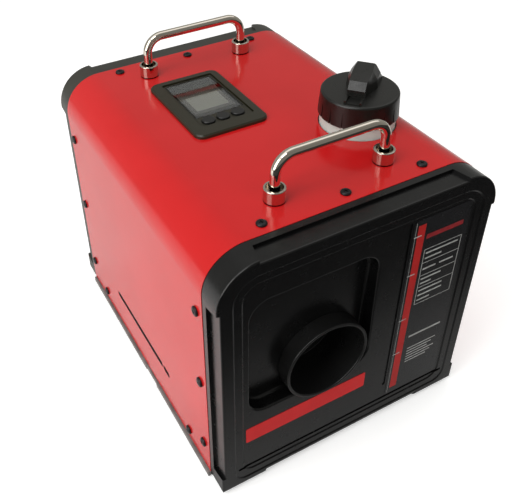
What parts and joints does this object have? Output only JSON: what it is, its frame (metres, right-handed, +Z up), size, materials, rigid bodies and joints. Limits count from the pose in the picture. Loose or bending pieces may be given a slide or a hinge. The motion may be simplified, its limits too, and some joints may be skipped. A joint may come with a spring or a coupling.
{
  "type": "diesel air heater",
  "caption": "Portable diesel air heater in a red steel case with black end panels, round warm air outlet, fuel cap, top controller and carry handles.",
  "frame": {"origin": "on the ground, under the middle of the case", "axes": "+Z up, -Y out of the warm air outlet on the front, +X to the fuel tank side"},
  "size_m": [0.2544, 0.324, 0.3006],
  "materials": {
    "casing_paint": "glossy",
    "tray_paint": "satin",
    "panel_plastic": "fine moulded texture",
    "duct_plastic": "satin",
    "black_screw": "black oxide",
    "bright_bar": "polished",
    "bezel_plastic": "satin",
    "window": "clear gloss",
    "display": "flat grey",
    "circuit_board": "solder mask",
    "button_rubber": "matt",
    "tank_plastic": "translucent natural",
    "cap_plastic": "satin",
    "black_rubber": "matt",
    "fuel_hose": "matt",
    "brass": "turned",
    "filter_plastic": "clear",
    "zinc_steel": "zinc plated",
    "raw_steel": "plain",
    "cast_aluminium": "as cast",
    "heater_plastic": "moulded"
  },
  "bodies": {
    "heater": {"casing": "casing_paint", "base_tray": "tray_paint", "front_panel": "panel_plastic", "rear_panel": "panel_plastic", "rear_grille": "panel_plastic", "intake_duct": "duct_plastic", "outlet_duct": "duct_plastic", "power_socket": "duct_plastic", "casing_screws_top": "black_screw", "casing_screws_left": "black_screw", "casing_screws_right": "black_screw", "handle_front": "bright_bar", "handle_rear": "bright_bar", "handle_cups_front": "bright_bar", "handle_cups_rear": "bright_bar", "handle_screws": "zinc_steel", "controller_bezel": "bezel_plastic", "controller_housing": "bezel_plastic", "controller_board": "circuit_board", "display_panel": "display", "display_window": "window", "fuel_tank": "tank_plastic", "tank_neck": "tank_plastic", "tank_strap": "zinc_steel", "tank_fitting": "brass", "tank_hose": "fuel_hose", "fuel_filter": "filter_plastic", "pump_hose": "fuel_hose", "fuel_pump": "zinc_steel", "pump_sleeve": "black_rubber", "pump_clamp": "zinc_steel", "heater_hose": "fuel_hose", "jacket_lower": "heater_plastic", "jacket_upper": "heater_plastic", "heat_exchanger": "cast_aluminium", "combustion_chamber": "raw_steel", "glow_plug": "raw_steel", "fan_housing": "cast_aluminium", "blower_motor": "zinc_steel", "motor_bearings": "raw_steel", "inlet_guard": "heater_plastic", "heater_board": "heater_plastic", "heater_gasket": "black_rubber", "heater_brackets": "zinc_steel", "heater_studs": "zinc_steel", "exhaust_pipe": "raw_steel", "air_pipe": "zinc_steel"},
    "button_left": {"button_left": "button_rubber"},
    "button_middle": {"button_middle": "button_rubber"},
    "button_right": {"button_right": "button_rubber"},
    "seal": {"cap_seal": "black_rubber"},
    "cap": {"fuel_cap": "cap_plastic"},
    "rotor": {"blower_shaft": "raw_steel", "combustion_fan": "heater_plastic", "heating_fan": "heater_plastic"}
  },
  "joints": [
    {"name": "button_left_press", "type": "slide", "parent": "heater", "child": "button_left", "axis": [0, 0, -1], "range_m": [0, 0.001], "stiffness_N_per_m": 400, "springref_m": -0.0005},
    {"name": "button_middle_press", "type": "slide", "parent": "heater", "child": "button_middle", "axis": [0, 0, -1], "range_m": [0, 0.001], "stiffness_N_per_m": 400, "springref_m": -0.0005},
    {"name": "button_right_press", "type": "slide", "parent": "heater", "child": "button_right", "axis": [0, 0, -1], "range_m": [0, 0.001], "stiffness_N_per_m": 400, "springref_m": -0.0005},
    {"name": "cap_lift", "type": "slide", "parent": "heater", "child": "seal", "axis": [0, 0, 1], "range_m": [0, 0.008]},
    {"name": "cap_turn", "type": "hinge", "parent": "seal", "child": "cap", "pos_m": [0.068, -0.053, 0.28], "axis": [0, 0, 1], "range_deg": [0, 720]},
    {"name": "blower_spin", "type": "hinge", "parent": "heater", "child": "rotor", "pos_m": [-0.0265, 0.06, 0.1165], "axis": [0, 1, 0], "continuous": true}
  ],
  "couplings": [
    {"joint": "cap_lift", "follows": "cap_turn", "m_per_rad": 0.000636}
  ]
}
